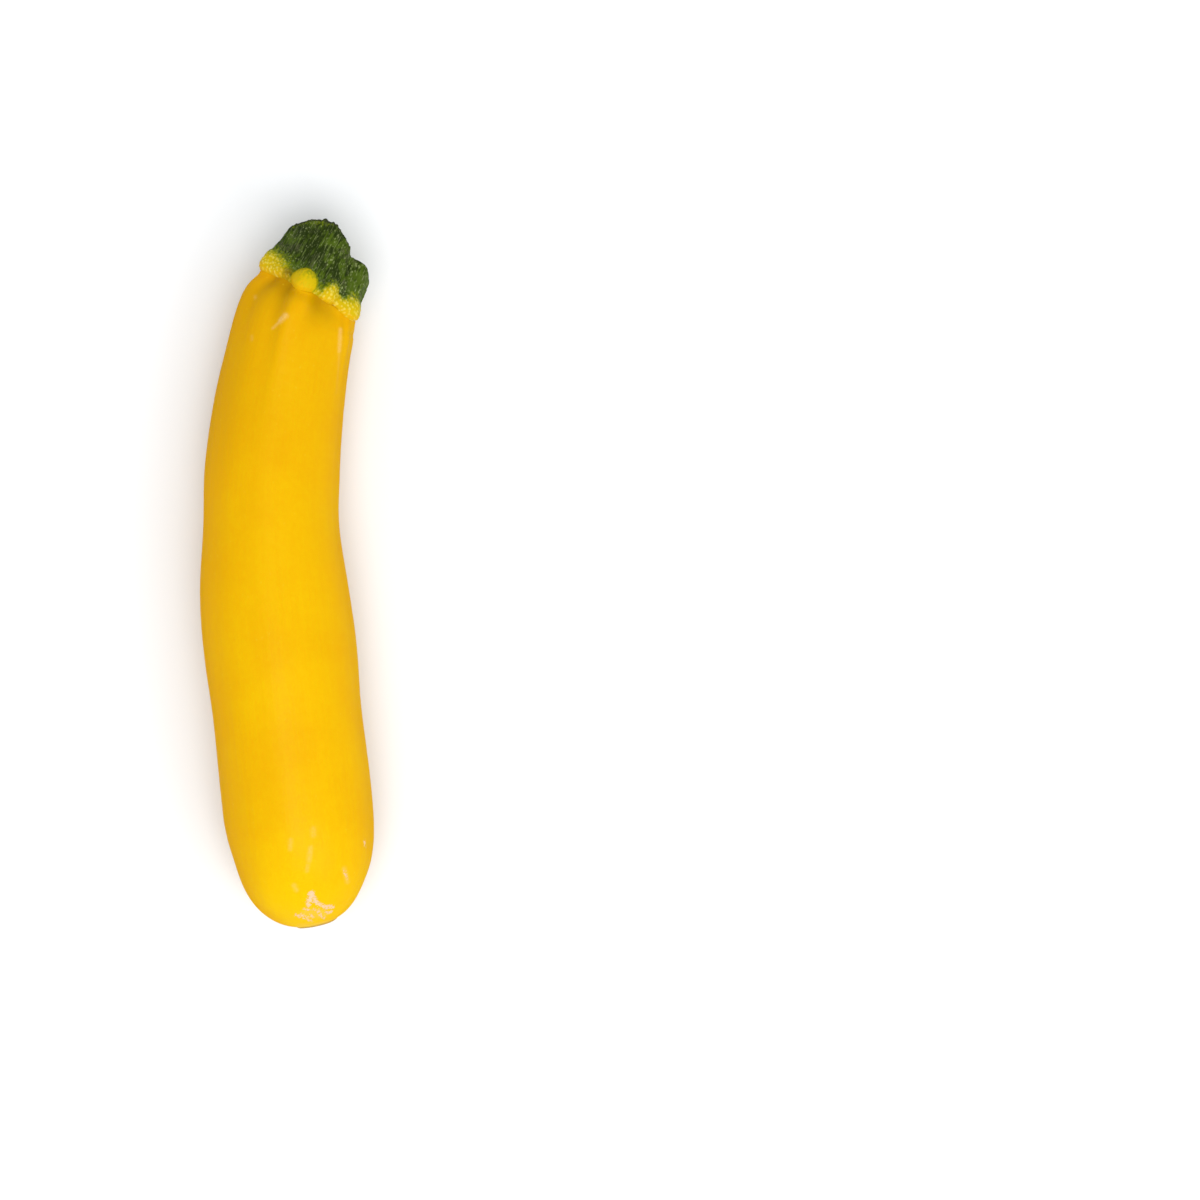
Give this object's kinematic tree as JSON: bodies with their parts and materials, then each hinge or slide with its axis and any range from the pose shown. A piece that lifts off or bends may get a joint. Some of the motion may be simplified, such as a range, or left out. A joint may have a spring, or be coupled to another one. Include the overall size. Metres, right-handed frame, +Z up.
{
  "type": "yellow courgette",
  "caption": "Long, slightly bent yellow courgette lying on its side, with a rounded blossom end and a ridged green stem stump cut at a slant.",
  "frame": {"origin": "on the ground, under the middle of the bounding box of the fruit and its stem", "axes": "+Z up from the surface the fruit lies on, +Y along the fruit towards the stem, +X to the right seen from above with the stem at the top"},
  "size_m": [0.0464, 0.1896, 0.0398],
  "materials": {
    "skin": "smooth, waxy yellow skin",
    "stem_rind": "ridged dark green rind, yellow at the knobs where it meets the fruit"
  },
  "bodies": {
    "root": {"fruit": "skin", "stem": "stem_rind"}
  },
  "joints": []
}
